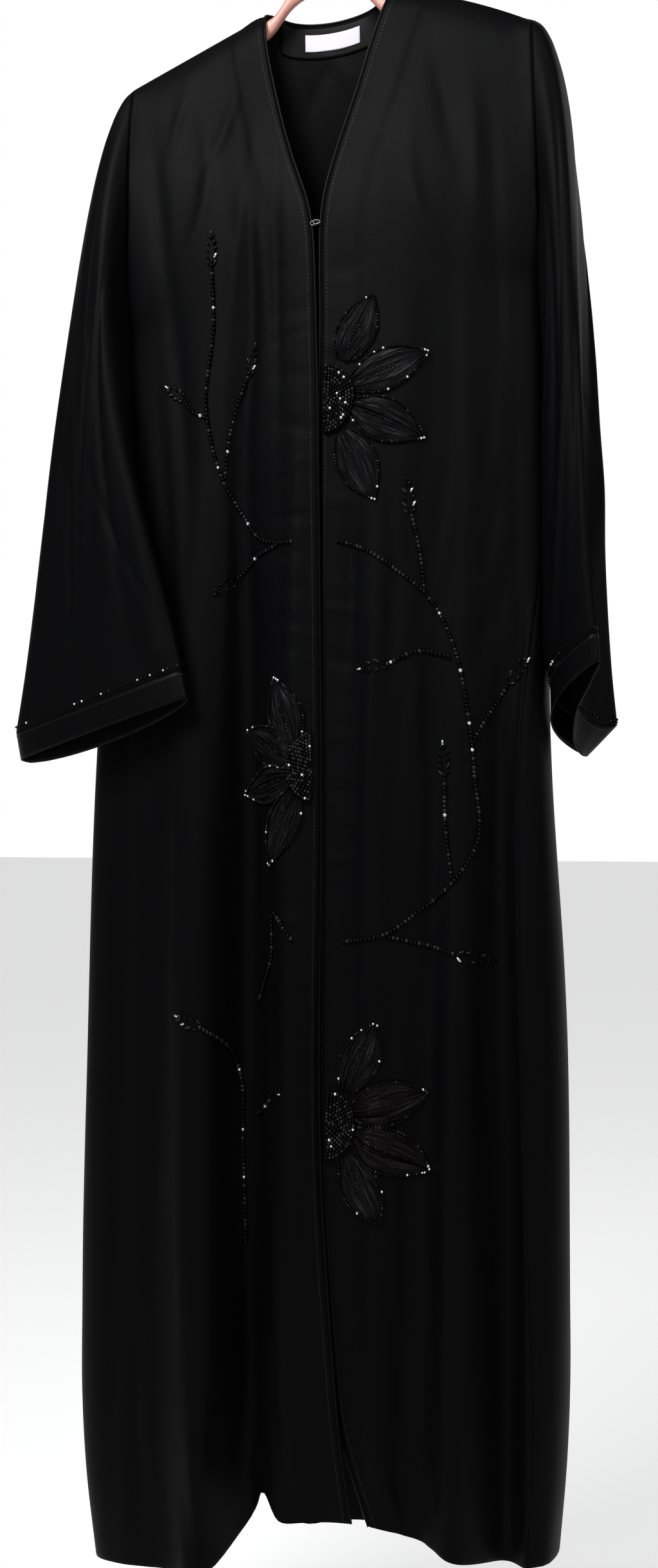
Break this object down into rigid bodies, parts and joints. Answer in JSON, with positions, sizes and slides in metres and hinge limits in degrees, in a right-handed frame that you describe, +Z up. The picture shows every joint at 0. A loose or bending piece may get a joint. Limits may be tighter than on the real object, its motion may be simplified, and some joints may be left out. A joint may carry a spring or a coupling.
{
  "type": "abaya cloak hung on a clothes hanger",
  "caption": "Full-length black open-front abaya cloak with a V neck, wide cuffed sleeves and beaded flowers, hung on a clothes hanger.",
  "frame": {"origin": "the top inside of the hanger's hook, where a rail carries it", "axes": "+Z up, the garment's front faces -Y, and the wearer's left is at +X"},
  "size_m": [0.5754, 0.1771, 1.5973],
  "materials": {
    "crepe": "black crepe with a soft sheen",
    "satin": "black satin",
    "organza": "black sheer organza",
    "beadwork": "cloth covered with small black beads",
    "label": "bare woven label",
    "steel": "polished",
    "painted_wood": "peach pink paint"
  },
  "bodies": {
    "root": {"back": "crepe", "front_left": "crepe", "front_right": "crepe", "sleeve_left": "crepe", "sleeve_right": "crepe", "cuff_left": "satin", "cuff_right": "satin", "edge_binding_left": "satin", "edge_binding_right": "satin", "neck_binding": "satin", "neck_facing": "satin", "neck_label": "label", "neck_hook": "steel", "neck_eye": "steel", "hanger_hook": "steel", "hanger_bow": "painted_wood", "heart_1": "beadwork", "petal_1_top": "organza", "petal_1_upper": "organza", "petal_1_lower": "organza", "petal_1_bottom": "organza", "heart_2": "beadwork", "petal_2_top": "organza", "petal_2_upper": "organza", "petal_2_lower": "organza", "petal_2_bottom": "organza", "heart_3": "beadwork", "petal_3_top": "organza", "petal_3_upper": "organza", "petal_3_lower": "organza", "petal_3_bottom": "organza"}
  },
  "joints": []
}
